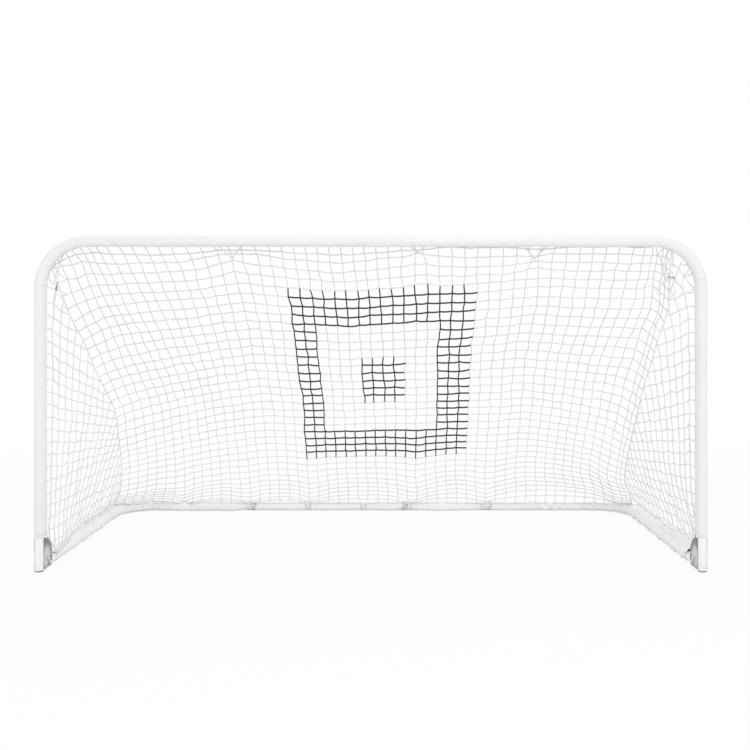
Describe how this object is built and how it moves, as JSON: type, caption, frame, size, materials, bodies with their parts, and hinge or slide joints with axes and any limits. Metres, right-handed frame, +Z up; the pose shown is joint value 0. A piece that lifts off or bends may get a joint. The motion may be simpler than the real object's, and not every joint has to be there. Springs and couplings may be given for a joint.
{
  "type": "folding soccer goal",
  "caption": "Folding soccer goal: rounded tube front frame in fabric sleeves, a low base frame that folds up on bracket hinges, and a square-mesh net over the back and sides.",
  "frame": {"origin": "on the floor, at the middle of the goal's width and depth", "axes": "+X along the crossbar, +Y from the mouth back to the base tube, +Z up"},
  "size_m": [2.4512, 1.101, 1.22],
  "materials": {
    "enamel": "glossy white enamel",
    "fabric": "matte woven",
    "band": "matte webbing",
    "twine": "braided twine",
    "plate": "satin grey",
    "zinc": "zinc plated",
    "cap": "matte",
    "tie": "glossy red",
    "spring": "spring steel"
  },
  "bodies": {
    "front_frame": {"left_post": "enamel", "right_post": "enamel", "crossbar": "enamel", "left_foot_cap": "cap", "right_foot_cap": "cap", "left_post_sleeve": "fabric", "right_post_sleeve": "fabric", "crossbar_sleeve": "fabric", "left_bracket": "plate", "right_bracket": "plate", "left_pivot_bolt": "zinc", "right_pivot_bolt": "zinc", "left_pivot_nut": "zinc", "right_pivot_nut": "zinc", "left_stop_bolt": "zinc", "right_stop_bolt": "zinc", "left_stop_nut": "zinc", "right_stop_nut": "zinc", "left_stop_bush": "zinc", "right_stop_bush": "zinc", "left_lock_bush": "zinc", "right_lock_bush": "zinc", "left_corner_tie": "tie", "right_corner_tie": "tie", "net": "twine", "left_top_spring": "spring", "right_top_spring": "spring"},
    "base_frame": {"left_base_tube": "enamel", "right_base_tube": "enamel", "back_tube": "enamel", "left_base_sleeve": "fabric", "right_base_sleeve": "fabric", "back_sleeve_1": "fabric", "back_sleeve_2": "fabric", "back_sleeve_3": "fabric", "back_sleeve_4": "fabric", "back_strap_1": "band", "back_strap_2": "band", "back_strap_3": "band", "back_strap_4": "band", "back_strap_5": "band", "left_back_spring": "spring", "right_back_spring": "spring"},
    "left_top_button": {"left_top_button": "zinc"},
    "right_top_button": {"right_top_button": "zinc"},
    "left_back_button": {"left_back_button": "zinc"},
    "right_back_button": {"right_back_button": "zinc"}
  },
  "joints": [
    {"name": "base_fold", "type": "hinge", "parent": "front_frame", "child": "base_frame", "pos_m": [0, -0.4815, 0.0235], "axis": [1, 0, 0], "range_deg": [0, 90], "deforming": ["net"]},
    {"name": "left_top_button_press", "type": "slide", "parent": "front_frame", "child": "left_top_button", "axis": [0, 0, 1], "range_m": [0, 0.0055], "stiffness_N_per_m": 600, "springref_m": -0.002, "deforming": ["left_top_spring"]},
    {"name": "right_top_button_press", "type": "slide", "parent": "front_frame", "child": "right_top_button", "axis": [0, 0, 1], "range_m": [0, 0.0055], "stiffness_N_per_m": 600, "springref_m": -0.002, "deforming": ["right_top_spring"]},
    {"name": "left_back_button_press", "type": "slide", "parent": "base_frame", "child": "left_back_button", "axis": [0, 0, -1], "range_m": [0, 0.0055], "stiffness_N_per_m": 600, "springref_m": -0.002, "deforming": ["left_back_spring"]},
    {"name": "right_back_button_press", "type": "slide", "parent": "base_frame", "child": "right_back_button", "axis": [0, 0, -1], "range_m": [0, 0.0055], "stiffness_N_per_m": 600, "springref_m": -0.002, "deforming": ["right_back_spring"]}
  ]
}
